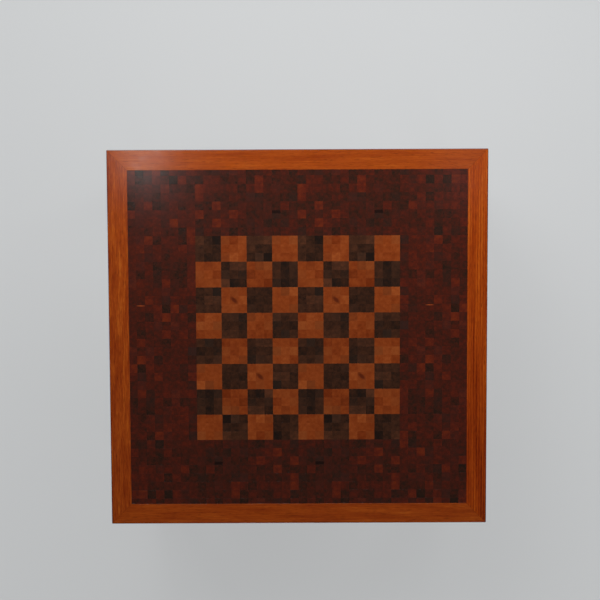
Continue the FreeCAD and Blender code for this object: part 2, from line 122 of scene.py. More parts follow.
def add(tree, kind, sockets=None, stops=None, **settings):
    """Add a node: its settings by name, each socket's value or source, and its colour stops."""
    made = tree.nodes.new("ShaderNode" + kind)
    for name, setting in settings.items():
        setattr(made, name, setting)
    for name, given in (sockets or {}).items():
        if isinstance(given, bpy.types.NodeSocket):
            tree.links.new(given, made.inputs[name])
        else:
            made.inputs[name].default_value = given
    if stops:
        elements = made.color_ramp.elements
        while len(elements) < len(stops):
            elements.new(1)
        for element, (place, colour) in zip(elements, stops):
            element.position = place
            element.color = linear(colour)
    return made


def make_camera():
    lens = bpy.data.cameras.new("camera")
    lens.lens = CAMERA_LENS
    camera = bpy.data.objects.new("camera", lens)
    bpy.context.scene.collection.objects.link(camera)
    camera.location = CAMERA_PLACE
    camera.rotation_mode = "ZYX"
    camera.rotation_euler = [math.radians(turn) for turn in CAMERA_TURNS]
    bpy.context.scene.camera = camera


def make_lamps():
    for name, place, target, (width, depth), watts in LAMPS:
        lamp = bpy.data.lights.new(name, "AREA")
        lamp.shape = "RECTANGLE"
        lamp.size, lamp.size_y, lamp.energy = width, depth, watts
        holder = bpy.data.objects.new(name, lamp)
        bpy.context.scene.collection.objects.link(holder)
        holder.location = place
        holder.rotation_euler = (Vector(target) - Vector(place)).to_track_quat("-Z", "Y").to_euler()
        holder.visible_camera = False


def make_world():
    """Pale at the horizon and dim overhead, as a room with light walls and a dark ceiling.

    The camera itself sees the colour of the floor, so that no horizon shows.
    """
    world = bpy.data.worlds.new("studio")
    bpy.context.scene.world = world
    world.use_nodes = True
    tree = world.node_tree
    direction = add(tree, "TexCoord").outputs["Generated"]
    height = add(tree, "SeparateXYZ", {"Vector": direction}).outputs["Z"]
    level = add(tree, "MapRange", {"Value": height, "From Min": WORLD_FADE[0],
                                   "From Max": WORLD_FADE[1], "To Min": HORIZON_LEVEL,
                                   "To Max": ZENITH_LEVEL},
                interpolation_type="SMOOTHSTEP").outputs["Result"]
    seen = add(tree, "LightPath").outputs["Is Camera Ray"]
    colour = add(tree, "Mix", {0: seen, 6: (1, 1, 1, 1), 7: linear(BACKGROUND)}, data_type="RGBA")
    strength = add(tree, "Math", {0: level, 1: seen}, operation="MAXIMUM").outputs[0]
    backdrop = tree.nodes["Background"]
    tree.links.new(colour.outputs[2], backdrop.inputs["Color"])
    tree.links.new(strength, backdrop.inputs["Strength"])


def make_floor():
    """A matt pale floor that takes shadows near the table and glows evenly farther off."""
    bpy.ops.object.select_all(action="DESELECT")
    bpy.ops.mesh.primitive_plane_add(size=FLOOR_SIZE, location=(0, 0, 0))
    floor = bpy.context.object
    floor.name = "floor"
    paint, tree, shader = new_finish("pale_floor", roughness=0.9)
    shader.inputs["Specular IOR Level"].default_value = 0.1
    shader.inputs["Emission Color"].default_value = linear(BACKGROUND)
    rays = add(tree, "LightPath").outputs
    seen = add(tree, "Math", {0: rays["Is Camera Ray"], 1: rays["Is Glossy Ray"]},
               operation="MAXIMUM").outputs[0]
    seen = add(tree, "Math", {0: seen, 1: rays["Is Transmission Ray"]},
               operation="MAXIMUM").outputs[0]
    place = add(tree, "TexCoord").outputs["Object"]
    distance = add(tree, "VectorMath", {0: place}, operation="LENGTH").outputs["Value"]
    share = add(tree, "MapRange", {"Value": distance, "From Min": FLOOR_FADE[0],
                                   "From Max": FLOOR_FADE[1], "To Min": FLOOR_GLOW, "To Max": 1.0}
                ).outputs[0]
    glow = add(tree, "Math", {0: seen, 1: share}, operation="MULTIPLY").outputs[0]
    tree.links.new(glow, shader.inputs["Emission Strength"])
    lit = add(tree, "Mix", {0: glow, 6: linear(BACKGROUND), 7: (0, 0, 0, 1)}, data_type="RGBA")
    tree.links.new(lit.outputs[2], shader.inputs["Base Color"])
    floor.data.materials.append(paint)


# ---- Finishes -----------------------------------------------------------------------------------

WAVE_PERIOD = 0.314         # from ring to ring or band to band of a wave texture at scale 1
BUMP_DEPTH = 0.1 * MM       # how deep open pores are

# Roughness of the satin lacquer and of its glossier spots. End grain drinks more of it.
END_GRAIN_LACQUER = (0.185, 0.165)
LONG_GRAIN_LACQUER = (0.17, 0.13)
LACQUER_CLOUD = 14 * MM     # size of the noise whose peaks are the spots, about 8 mm across
SANDED_ROUGHNESS = 0.55

BLOCK_CLOUD = 7 * MM        # colour clouds in end grain
BLOCK_PORES = 1.1 * MM      # from pore to pore in end grain, coarser than real so that they show
SPLIT_DARK = (3.6 * MM, 2.2 * MM)   # from a split's middle to where it begins and is fully dark

SWING_LENGTH = 90 * MM      # the lines of long grain swing to the side once in about this length
FIBRE_WIDTH = 1.3 * MM
FIBRE_LENGTH = 12 * MM
CLOUD_WIDTH = 16 * MM       # colour clouds in long grain, as long as its growth lines
LINE_SHARE = 0.40           # shares of growth lines, fibres and clouds in the colour
FIBRE_SHARE = 0.25
CLOUD_SHARE = 0.35
NOISE_REACH = 0.17          # how far these three together stray from 0.5
STRIPE_SPACING = 5 * MM     # from ring to ring on a quarter-sawn rail
STRIPE_STRETCH = 20         # how many times longer than wide the stripes' waves are
PORE_NOISE = 0.8 * MM       # the noise whose peaks are the pores, half as wide
PORE_STRETCH = 20

PAINTED_ARRIS_SHADE = (2.2 * MM, 1.0 * MM)   # painted shade at the frame's outer arris: from the arris to where it begins and is darkest
GLUE_DARK = (0.5 * MM, 0.2 * MM)    # from the middle of a mitre to where its dark glue line begins and is darkest


def new_finish(name, roughness=0.5, metallic=0.0):
    material = bpy.data.materials.new(name)
    material.use_nodes = True
    shader = material.node_tree.nodes["Principled BSDF"]
    shader.inputs["Roughness"].default_value = roughness
    shader.inputs["Metallic"].default_value = metallic
    return material, material.node_tree, shader


def lacquer(tree, shader, place, roughness, spot_roughness):
    """Satin lacquer that has aged unevenly, with glossier spots."""
    spots = add(tree, "TexNoise", {"Vector": place, "Scale": 1 / LACQUER_CLOUD, "Detail": 1.0}
                ).outputs["Fac"]
    rough = add(tree, "MapRange", {"Value": spots, "From Min": 0.54, "From Max": 0.66,
                                   "To Min": roughness, "To Max": spot_roughness}).outputs[0]
    tree.links.new(rough, shader.inputs["Roughness"])


def end_grain(name, stops, mottle, dull, pore, ring_spacing, mark, mark_size, mark_turn):
    """End grain under satin lacquer: curved growth rings and fine pores, each block cut elsewhere.

    Mottle is how far the colour strays from the block's own tone. A block's attributes give its
    tone, how dull its colour is, where the pith of its stick lies, whether and where it has a mark,
    an oval of another colour and of the given length and width, and whether and where a dark split
    6 mm wide runs across it.
    """
    material, tree, shader = new_finish(name)
    place = add(tree, "TexCoord").outputs["Object"]
    lacquer(tree, shader, place, *END_GRAIN_LACQUER)
    tone, dullness, marked, is_split, split_line = (
        add(tree, "Attribute", attribute_name=word).outputs["Fac"]
        for word in ("tone", "dullness", "marked", "is_split", "split_line"))
    pith, mark_place = (add(tree, "Attribute", attribute_name=word).outputs["Vector"]
                        for word in ("pith", "mark_place"))
    from_pith = add(tree, "VectorMath", {0: place, 1: pith}, operation="SUBTRACT").outputs[0]
    rings = add(tree, "TexWave", {"Vector": from_pith, "Scale": WAVE_PERIOD / ring_spacing,
                                  "Distortion": 1.6, "Detail": 2.0, "Detail Scale": 1.4},
                wave_type="RINGS", rings_direction="Z").outputs["Fac"]
    cloud = add(tree, "TexNoise", {"Vector": from_pith, "Scale": 1 / BLOCK_CLOUD, "Detail": 3.0}
                ).outputs["Fac"]
    shade = add(tree, "MapRange", {"Value": cloud, "From Min": 0.3, "From Max": 0.7,
                                   "To Min": -mottle, "To Max": mottle}).outputs[0]
    banded = add(tree, "MapRange", {"Value": rings, "To Min": -0.5 * mottle, "To Max": 0.5 * mottle}
                 ).outputs[0]
    mixed = add(tree, "Math", {0: tone, 1: shade}, operation="ADD").outputs[0]
    mixed = add(tree, "Math", {0: mixed, 1: banded}, operation="ADD").outputs[0]
    colour = add(tree, "ValToRGB", {"Fac": mixed}, stops).outputs["Color"]
    colour = add(tree, "Mix", {0: dullness, 6: colour, 7: linear(dull)},
                 data_type="RGBA").outputs[2]
    inside = add(tree, "VectorMath", {0: place, 1: mark_place}, operation="SUBTRACT").outputs[0]
    inside = add(tree, "VectorRotate", {"Vector": inside, "Angle": mark_turn}).outputs[0]
    inside = add(tree, "VectorMath", {0: inside, 1: (2 / mark_size[0], 2 / mark_size[1], 0)},
                 operation="MULTIPLY").outputs[0]
    oval = add(tree, "VectorMath", {0: inside}, operation="LENGTH").outputs["Value"]
    oval = add(tree, "MapRange", {"Value": oval, "From Min": 1.2, "From Max": 0.5}).outputs[0]
    oval = add(tree, "Math", {0: oval, 1: marked}, operation="MULTIPLY").outputs[0]
    colour = add(tree, "Mix", {0: oval, 6: colour, 7: linear(mark)}, data_type="RGBA").outputs[2]
    split = add(tree, "SeparateXYZ", {"Vector": place}).outputs["Y"]
    split = add(tree, "Math", {0: split, 1: split_line}, operation="SUBTRACT").outputs[0]
    split = add(tree, "Math", {0: split}, operation="ABSOLUTE").outputs[0]
    split = add(tree, "MapRange", {"Value": split, "From Min": SPLIT_DARK[0],
                                   "From Max": SPLIT_DARK[1], "To Max": 0.8}).outputs[0]
    split = add(tree, "Math", {0: split, 1: is_split}, operation="MULTIPLY").outputs[0]
    colour = add(tree, "Mix", {0: split, 6: colour, 7: linear(pore)}, data_type="RGBA").outputs[2]
    # Each pore is about 0.25 mm across.
    cells = add(tree, "TexVoronoi", {"Vector": from_pith, "Scale": 1 / BLOCK_PORES}).outputs[0]
    open_pore = add(tree, "MapRange", {"Value": cells, "From Min": 0.10, "From Max": 0.22,
                                       "To Min": 0.75, "To Max": 0.0}).outputs[0]
    colour = add(tree, "Mix", {0: open_pore, 6: colour, 7: linear(pore)},
                 data_type="RGBA").outputs[2]
    bump = add(tree, "Bump", {"Height": cells, "Strength": 0.06, "Distance": BUMP_DEPTH}).outputs[0]
    tree.links.new(colour, shader.inputs["Base Color"])
    tree.links.new(bump, shader.inputs["Normal"])
    return material


def long_grain(name, stops, pore, along, wander, line_spacing, line_length=100 * MM, contrast=1.0,
               lift=0.0, fade=0.0, stripes=0.0, offset=0.0, edges=False, lacquered=True):
    """Long grain: growth lines in the colours of the stops, with fine dark pores along them.

    The grain runs along the given axis. Wander is how far the lines swing to the side, contrast how
    strongly they show, lift how much paler the board is, fade how much paler it gets in a metre
    along the axis, and stripes how much its evenly spaced rings show, as on a quarter-sawn board.
    With edges, painted shade darkens the outer upper arris towards the colour of the pores, and a
    thin glue line shows along the mitres. Wood that isn't lacquered is sanded and dull.
    """
    material, tree, shader = new_finish(name, SANDED_ROUGHNESS)
    turn = {"x": (0, 0, 0), "y": (0, 0, -math.pi / 2), "z": (0, math.pi / 2, 0)}[along]
    place = add(tree, "TexCoord").outputs["Object"]
    if lacquered:
        lacquer(tree, shader, place, *LONG_GRAIN_LACQUER)
    board = add(tree, "Mapping", {"Vector": place, "Rotation": turn,
                                  "Location": (offset, offset, offset)}).outputs[0]
    slow = add(tree, "Mapping", {"Vector": board, "Scale": (1, 2.5, 2.5)}).outputs[0]
    swing = add(tree, "TexNoise", {"Vector": slow, "Scale": 1 / SWING_LENGTH, "Detail": 2.0}
                ).outputs["Color"]
    swing = add(tree, "VectorMath", {0: swing, 1: (0.5, 0.5, 0.5)}, operation="SUBTRACT").outputs[0]
    swing = add(tree, "VectorMath", {0: swing, 1: (0, 4 * wander, 4 * wander)},
                operation="MULTIPLY").outputs[0]
    board = add(tree, "VectorMath", {0: board, 1: swing}, operation="ADD").outputs[0]
    mixed = 0.0
    for share, width, length in ((LINE_SHARE, line_spacing, line_length),
                                 (FIBRE_SHARE, FIBRE_WIDTH, FIBRE_LENGTH),
                                 (CLOUD_SHARE, CLOUD_WIDTH, line_length)):
        drawn = add(tree, "Mapping", {"Vector": board, "Scale": (1 / length, 1 / width, 1 / width)}
                    ).outputs[0]
        layer = add(tree, "TexNoise", {"Vector": drawn, "Scale": 1.0, "Detail": 2.0}).outputs["Fac"]
        mixed = add(tree, "Math", {0: layer, 1: share, 2: mixed},
                    operation="MULTIPLY_ADD").outputs[0]
    reach = NOISE_REACH / contrast
    mixed = add(tree, "MapRange", {"Value": mixed, "From Min": 0.5 - reach, "From Max": 0.5 + reach}
                ).outputs[0]
    if stripes:
        drawn = add(tree, "Mapping", {"Vector": board, "Scale": (1 / STRIPE_STRETCH, 1, 1)}
                    ).outputs[0]
        rings = add(tree, "TexWave", {"Vector": drawn, "Scale": WAVE_PERIOD / STRIPE_SPACING,
                                      "Distortion": 3.0, "Detail": 1.0, "Detail Scale": 0.8},
                    wave_type="BANDS", bands_direction="Y").outputs["Fac"]
        rings = add(tree, "MapRange", {"Value": rings, "To Min": -stripes, "To Max": stripes}
                    ).outputs[0]
        mixed = add(tree, "Math", {0: mixed, 1: rings}, operation="ADD").outputs[0]
    station = add(tree, "SeparateXYZ", {"Vector": place}).outputs[along.upper()]
    paler = add(tree, "Math", {0: station, 1: fade, 2: lift}, operation="MULTIPLY_ADD").outputs[0]
    mixed = add(tree, "Math", {0: mixed, 1: paler}, operation="ADD").outputs[0]
    colour = add(tree, "ValToRGB", {"Fac": mixed}, stops).outputs["Color"]
    # Pores: dark dashes about 8 mm long.
    dashes = add(tree, "Mapping", {"Vector": board, "Scale": (1 / PORE_STRETCH, 1, 1)}).outputs[0]
    pores = add(tree, "TexNoise", {"Vector": dashes, "Scale": 1 / PORE_NOISE, "Detail": 1.0}
                ).outputs["Fac"]
    dark = add(tree, "MapRange", {"Value": pores, "From Min": 0.60, "From Max": 0.72,
                                  "To Max": 0.6}).outputs[0]
    # With edges, painted shade darkens the outer upper arris, and dark glue lines show at the
    # mitres.
    if edges:
        dark = add(tree, "Math", {0: dark, 1: painted_arris_shade_and_glue_lines(tree, place)},
                   operation="MAXIMUM").outputs[0]
    colour = add(tree, "Mix", {0: dark, 6: colour, 7: linear(pore)}, data_type="RGBA").outputs[2]
    bump = add(tree, "Bump", {"Height": pores, "Strength": 0.10, "Distance": BUMP_DEPTH},
               invert=True).outputs[0]
    tree.links.new(colour, shader.inputs["Base Color"])
    tree.links.new(bump, shader.inputs["Normal"])
    return material


def painted_arris_shade_and_glue_lines(tree, place):
    """How dark the frame is: painted shade along its outer upper arris, and a dark glue line along
    its mitres.
    """
    folded = add(tree, "VectorMath", {0: place}, operation="ABSOLUTE").outputs[0]
    inset = add(tree, "VectorMath", {0: cad_high, 1: folded}, operation="SUBTRACT").outputs[0]
    inset = add(tree, "SeparateXYZ", {"Vector": inset}).outputs
    edge = add(tree, "Math", {0: inset["X"], 1: inset["Y"]}, operation="MINIMUM").outputs[0]
    edge = add(tree, "Math", {0: edge, 1: inset["Z"]}, operation="MAXIMUM").outputs[0]
    # Painted shade: a dark band along the outer upper arris, darkest at its edge.
    arris = add(tree, "MapRange", {"Value": edge, "From Min": PAINTED_ARRIS_SHADE[0],
                                   "From Max": PAINTED_ARRIS_SHADE[1], "To Max": 0.8}).outputs[0]
    mitre = add(tree, "Math", {0: inset["X"], 1: inset["Y"]}, operation="SUBTRACT").outputs[0]
    mitre = add(tree, "Math", {0: mitre}, operation="ABSOLUTE").outputs[0]
    glue = add(tree, "MapRange", {"Value": mitre, "From Min": GLUE_DARK[0],
                                  "From Max": GLUE_DARK[1], "To Max": 0.5}).outputs[0]
    return add(tree, "Math", {0: arris, 1: glue}, operation="MAXIMUM").outputs[0]


# ---- Working in edit mode -----------------------------------------------------------------------

@contextmanager
def editing(piece):
    """Edit one piece, with nothing selected in it to begin with."""
    bpy.ops.object.select_all(action="DESELECT")
    piece.select_set(True)
    bpy.context.view_layer.objects.active = piece
    bpy.ops.object.mode_set(mode="EDIT")
    bpy.ops.mesh.select_mode(type="FACE")
    bpy.ops.mesh.select_all(action="DESELECT")
    yield
    bpy.ops.object.mode_set(mode="OBJECT")


def pick(piece, wanted):
    """Select the faces that pass the test, and no others."""
    bpy.ops.mesh.select_all(action="DESELECT")
    mesh = bmesh.from_edit_mesh(piece.data)
    for face in mesh.faces:
        face.select_set(wanted(face))
    bmesh.update_edit_mesh(piece.data)


# ---- Mosaic -------------------------------------------------------------------------------------

def block_at(x, y):
    """Column and row of the block there. The board's near left block is 0, 0."""
    return (math.floor(x / block_width) + BOARD_BLOCKS // 2,
            math.floor(y / block_depth) + BOARD_BLOCKS // 2)


def on_board(number):
    return 0 <= number < BOARD_BLOCKS


def region_of(column, row):
    """The piece that a block belongs to. The board's near left square is light."""
    if on_board(column) and on_board(row):
        light = (column // SQUARE_BLOCKS + row // SQUARE_BLOCKS) % 2 == 0
        return "board_light_blocks" if light else "board_dark_blocks"
    if on_board(column):
        return "field_blocks_front" if row < 0 else "field_blocks_back"
    if on_board(row):
        return "field_blocks_left" if column < 0 else "field_blocks_right"
    return "field_blocks_corner"


REPLACED = {
    "board_light_blocks": "chess_light_squares", "board_dark_blocks": "chess_dark_squares",
    "field_blocks_front": "field_slices_front", "field_blocks_back": "field_slices_back",
    "field_blocks_left": "field_slices_left", "field_blocks_right": "field_slices_right",
    "field_blocks_corner": "field_slices_corner",
}


def stick_of(column, row):
    """The stick of the glued-up log that a block was sliced from.

    The near half of the top is the far half turned round, and each half repeats after a slice.
    """
    if row < BOARD_BLOCKS // 2:
        column, row = BOARD_BLOCKS - 1 - column, BOARD_BLOCKS - 1 - row
    if on_board(column):
        return "board" if on_board(row) else "end", column % SLICE_BLOCKS, row
    if on_board(row):
        across = column + FIELD_BLOCKS + SIDE_SHIFT if column < 0 else column - BOARD_BLOCKS
        return "flank", across, row
    return "corner", column, row


# Mean tone of each part of the log, from 0, dark, to 1, pale.
PART_TONES = {"board": 0.5, "flank": 0.54, "end": 0.41, "corner": 0.5}
RUN_SPREAD = 0.07           # how far one run of sticks differs from the next
BOARD_SPREAD = 0.13         # how far the sticks of a run differ, in the board
FIELD_SPREAD = 0.112        # and in the field
NEIGHBOUR_SHARE = 0.35      # how far the maker set pale sticks of the field beside dark ones
DULLNESS = (-0.1, 0.25)     # mean and spread. Below 0 a stick isn't dull at all
RINGS_ASKEW = 0.25          # radians by which a stick's rings stray from square to its sides
PITH_REACH = (15, 60)       # mm from a block's middle to the middle of its rings
# Sticks that stand out: some nearly black, some pale.
ODD_TONES = {
    ("board", 2, 23): 0.0, ("board", 8, 21): 0.0, ("board", 3, 18): 0.9, ("board", 5, 20): 0.8,
    ("board", 4, 18): 0.15, ("board", 2, 17): 0.0, ("board", 6, 19): 0.1, ("board", 8, 18): 0.05,
    ("board", 11, 17): 0.9,
    ("end", 0, 29): 0.84, ("end", 0, 28): 0.73, ("end", 0, 26): 0.83, ("end", 2, 27): 0.82,
    ("end", 2, 25): 0.84, ("end", 4, 26): 0.75, ("end", 7, 30): 0.74, ("end", 7, 29): 0.77,
    ("end", 1, 26): 0.35, ("end", 3, 27): 0.4,
}
MARKED_STICKS = {("board", 4, 16)}      # a knot in a pale stick
MARKED_BLOCKS = {(-7, 15), (27, 15)}    # a sliver of orange sapwood in two field blocks
SLIVER_SHIFT = 0.37                     # blocks from such a block's middle to its sliver
SPLIT_STICKS = {("end", 9, 26)}         # a dark split across a stick of the field
SPLIT_SHIFT = 0.28                      # blocks from the stick's middle to the split


def block_facts(column, row):
    """What the block looks like, the same for every slice of one stick.

    The tone drifts over runs of sticks sawn from one board.
    """
    stick = stick_of(column, row)
    part, across, along = stick
    sawn = random.Random(f"{part} {across} {along // RUN_BLOCKS}")
    run = sawn.gauss(PART_TONES[part], RUN_SPREAD)
    chance = random.Random(f"{part} {across} {along}")
    spread, share = (BOARD_SPREAD, 0) if part == "board" else (FIELD_SPREAD, NEIGHBOUR_SHARE)
    tone = chance.gauss(run, spread)
    tone -= random.Random(f"{part} {across + 1} {along}").gauss(0, spread) * share
    tone = ODD_TONES.get(stick, min(max(tone, 0), 1))
    dullness = max(chance.gauss(*DULLNESS), 0)
    turn = chance.choice((0, 0.5, 1, 1.5)) * math.pi + chance.gauss(0, RINGS_ASKEW)
    reach = chance.uniform(*PITH_REACH) * MM
    middle = Vector(((column + 0.5 - BOARD_BLOCKS / 2) * block_width,
                     (row + 0.5 - BOARD_BLOCKS / 2) * block_depth, 0))
    has_sliver = (column, row) in MARKED_BLOCKS
    sliver = Vector((0, SLIVER_SHIFT * block_depth, 0)) if has_sliver else Vector()
    shift = SPLIT_SHIFT * block_depth * (1 if row >= BOARD_BLOCKS // 2 else -1)
    return {"tone": tone, "dullness": dullness,
            "marked": float(has_sliver or stick in MARKED_STICKS), "mark_place": middle + sliver,
            "is_split": float(stick in SPLIT_STICKS), "split_line": middle.y + shift,
            "pith": middle + reach * Vector((math.cos(turn), math.sin(turn), 0))}


def mosaic_sheet():
    """All the blocks as one face each, cut off along the frame's inner edges."""
    bpy.ops.object.select_all(action="DESELECT")
    bpy.ops.mesh.primitive_grid_add(x_subdivisions=SHEET_BLOCKS, y_subdivisions=SHEET_BLOCKS,
                                    size=1, location=(0, 0, 0))
    sheet = bpy.context.object
    with editing(sheet):
        bpy.ops.mesh.select_all(action="SELECT")
        bpy.ops.transform.resize(value=(SHEET_BLOCKS * block_width, SHEET_BLOCKS * block_depth, 1))
        bpy.ops.transform.translate(value=(0, 0, top_z - mosaic_thick))
        for edge, outward in ((field_high, (1, 0, 0)), (field_high, (0, 1, 0)),
                              (field_low, (-1, 0, 0)), (field_low, (0, -1, 0))):
            bpy.ops.mesh.select_all(action="SELECT")
            bpy.ops.mesh.bisect(plane_co=edge, plane_no=outward, clear_outer=True)
        bpy.ops.mesh.select_all(action="SELECT")
        bpy.ops.mesh.edge_split(type="EDGE")
    return sheet


def cut_out(sheet, name):
    """Take one region's faces out of the sheet and raise each into a block with softened edges."""
    with editing(sheet):
        pick(sheet, lambda face: region_of(*block_at(*face.calc_center_median().xy)) == name)
        bpy.ops.mesh.separate(type="SELECTED")
    piece = next(item for item in bpy.context.selected_objects if item is not sheet)
    piece.name = piece.data.name = name
    with editing(piece):
        bpy.ops.mesh.select_all(action="SELECT")
        bpy.ops.mesh.extrude_region_move(
            TRANSFORM_OT_translate={"value": (0, 0, mosaic_thick - BLOCK_ARRIS)})
        bpy.ops.mesh.inset(thickness=BLOCK_ARRIS, depth=BLOCK_ARRIS, use_individual=True)
        bpy.ops.mesh.select_all(action="SELECT")
        bpy.ops.mesh.normals_make_consistent(inside=False)
    return piece


def mark_blocks(piece):
    """Give every face the facts of its block."""
    facts = [block_facts(*block_at(*(face.center - face.normal * MM).xy))
             for face in piece.data.polygons]
    for word, first in facts[0].items():
        vector = isinstance(first, Vector)
        marks = piece.data.attributes.new(word, "FLOAT_VECTOR" if vector else "FLOAT", "FACE")
        for mark, fact in zip(marks.data, facts):
            setattr(mark, "vector" if vector else "value", fact[word])


TEAK_STOPS = ((0.0, "632509"), (0.3, "722f10"), (0.5, "7b3613"), (0.7, "823b17"), (1.0, "8f481f"))
WENGE_STOPS = ((0.0, "1b120e"), (0.3, "2b1910"), (0.5, "351e13"), (0.7, "3d2316"), (1.0, "502d1c"))
ROSEWOOD_STOPS = ((0.0, "21160f"), (0.25, "2f1911"), (0.5, "3f1910"), (0.75, "511c10"),
                  (1.0, "612410"))


def make_mosaic():
    # Teak gives warm orange-brown squares of one even tone, a few of them with a reddish knot.
    pale = end_grain("teak_end_grain", TEAK_STOPS, mottle=0.21, dull="6a3a1c", pore="4a1e0c",
                     ring_spacing=2.6 * MM, mark="54200d", mark_size=(19 * MM, 8 * MM),
                     mark_turn=math.pi / 4)
    # Wenge gives squares from grey-brown to nearly black.
    dark = end_grain("wenge_end_grain", WENGE_STOPS, mottle=0.2, dull="31231b", pore="120b09",
                     ring_spacing=2.2 * MM, mark="120b09", mark_size=(6 * MM, 3 * MM),
                     mark_turn=0.0)
    # Rosewood gives the field its lively deep reds, with a sliver of orange sapwood here and there.
    field = end_grain("rosewood_end_grain", ROSEWOOD_STOPS, mottle=0.19, dull="2f1e19",
                      pore="160a08", ring_spacing=2.4 * MM, mark="9c4820",
                      mark_size=(18 * MM, 1.6 * MM), mark_turn=0.0)
    finishes = {"board_light_blocks": ("light_blocks", pale),
                "board_dark_blocks": ("dark_blocks", dark)}
    sheet = mosaic_sheet()
    for name, node in REPLACED.items():
        piece = cut_out(sheet, name)
        mark_blocks(piece)
        slot, finish = finishes.get(name, ("field_blocks", field))
        piece.data.materials.append(finish)
        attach(piece, "root")
        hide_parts(node)
    bpy.data.objects.remove(sheet)


# ---- Frame and underframe -----------------------------------------------------------------------

# Padauk gives the frame and legs an even orange-brown with short dark pores. The board of the right
# rail was redder and quarter-sawn, so its rings run along it as straight even stripes.
FRAME_STOPS = ((0.0, "501405"), (0.25, "6f2508"), (0.5, "84340c"), (0.75, "944110"),
               (1.0, "a85518"))
RED_STOPS = ((0.0, "4c1102"), (0.25, "6d2104"), (0.5, "863107"), (0.75, "983f0a"), (1.0, "ab5413"))
# colour of the frame's pores, and of the painted shade along the rails' outer upper arris
FRAME_PORE_AND_ARRIS_SHADE = "3c1104"
RAILS = (
    # side, colours, grain's axis, how far its lines wander, how far apart they are and how long,
    # in mm, contrast, lift, fade and stripes
    ("front", FRAME_STOPS, "x", 0.5, 1.8, 90, 0.6, 0.12, 0.0, 0.0),
    ("back", FRAME_STOPS, "x", 0.6, 1.8, 150, 0.5, 0.165, -0.15, 0.0),
    ("left", FRAME_STOPS, "y", 1.8, 2.2, 70, 0.9, 0.08, 0.1, 0.0),
    ("right", RED_STOPS, "y", 0.5, 2.8, 200, 0.8, 0.09, 0.4, 0.14),
)
RAIL_OFFSET = 0.37          # metres by which each side's grain is moved on, so no two are alike
APRON_OFFSET = 0.1          # the same from a rail to the apron below it


def dress(node, finish):
    """Give a CAD node its finish."""
    node.data.materials.clear()
    node.data.materials.append(finish)


def dress_frame():
    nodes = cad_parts
    for number, (side, stops, along, wander, spacing, length, *shades) in enumerate(RAILS):
        offset = RAIL_OFFSET * number
        # Each rail gets painted shade along its outer upper arris and a dark glue line at its
        # mitres. The aprons get neither.
        dress(nodes[f"frame_rail_{side}"],
              long_grain(f"padauk_rail_{side}", stops, FRAME_PORE_AND_ARRIS_SHADE, along, wander * MM,
                         spacing * MM, length * MM, *shades, offset, edges=True))
        dress(nodes[f"apron_{side}"],
              long_grain(f"padauk_apron_{side}", stops, FRAME_PORE_AND_ARRIS_SHADE, along, wander * MM,
                         spacing * MM, length * MM, *shades, offset + APRON_OFFSET))
    leg = long_grain("padauk_long_grain_leg", FRAME_STOPS, pore="4a1a08", along="z",
                     wander=1.5 * MM, line_spacing=3.0 * MM)
    for name, node in nodes.items():
        if name.startswith("leg_"):
            dress(node, leg)


# ---- Core, blocks, buttons, screws and glides ---------------------------------------------------

BEECH_STOPS = ((0.0, "9c6d43"), (0.3, "ae7e51"), (0.6, "bc8d5f"), (1.0, "cb9f72"))
PINE_STOPS = ((0.0, "a37c4b"), (0.4, "bf9a67"), (0.7, "cdab7a"), (1.0, "dcc095"))
VENEER_STOPS = ((0.0, "4e2711"), (0.4, "6b3a1d"), (0.7, "7d4827"), (1.0, "935a35"))
WELD_REACH = 0.001 * MM     # vertices this close are one
SCREW_SIDES = 24
SCREW_STEPS = (             # rise in mm and radius as a share of the head's, from the head upwards
    (0.1, 1.0), (2.5, 0.5), (20.4, 0.5), (4.0, 0.15),
)
SCREW_CREASE = math.radians(30)     # the screw's edges are sharp from this angle on
RECESS_SLOT = 1.0 * MM      # width of the slots of a screw's cross recess
RECESS_REACH = 1.8 * MM     # how far each slot goes on from there
RECESS_DEPTH = 1.9 * MM
RECESS_TAPER = 0.4          # width at the bottom, as a share of the width at the face
BLOOM_STOPS = ((0.35, "b9b5a6"), (0.5, "c6c5c0"), (0.7, "c9b98f"))
BLOOM_SIZE = 2 * MM


def plated_steel():
    """Zinc-plated steel, bright with patches of a faint yellow bloom."""
    material, tree, shader = new_finish("zinc_plated_steel", metallic=1.0)
    place = add(tree, "TexCoord").outputs["Object"]
    bloom = add(tree, "TexNoise", {"Vector": place, "Scale": 1 / BLOOM_SIZE, "Detail": 3.0}
                ).outputs["Fac"]
    colour = add(tree, "ValToRGB", {"Fac": bloom}, BLOOM_STOPS).outputs["Color"]
    rough = add(tree, "MapRange", {"Value": bloom, "To Min": 0.22, "To Max": 0.42}).outputs[0]
    tree.links.new(colour, shader.inputs["Base Color"])
    tree.links.new(rough, shader.inputs["Roughness"])
    return material


def boxes_of_solids(node):
    """The lowest and highest corner of each separate solid of a CAD node."""
    twin = bpy.data.objects.new("twin", node.data.copy())
    bpy.context.scene.collection.objects.link(twin)
    with editing(twin):
        bpy.ops.mesh.select_all(action="SELECT")
        bpy.ops.mesh.remove_doubles(threshold=WELD_REACH)
        bpy.ops.mesh.separate(type="LOOSE")
    boxes = []
    for solid in list(bpy.context.selected_objects):
        places = [[vertex.co[axis] for vertex in solid.data.vertices] for axis in range(3)]
        lowest = Vector([min(line) for line in places])
        highest = Vector([max(line) for line in places])
        boxes.append((lowest, highest))
        bpy.data.objects.remove(solid)
    return sorted(boxes, key=lambda box: tuple(box[0]))


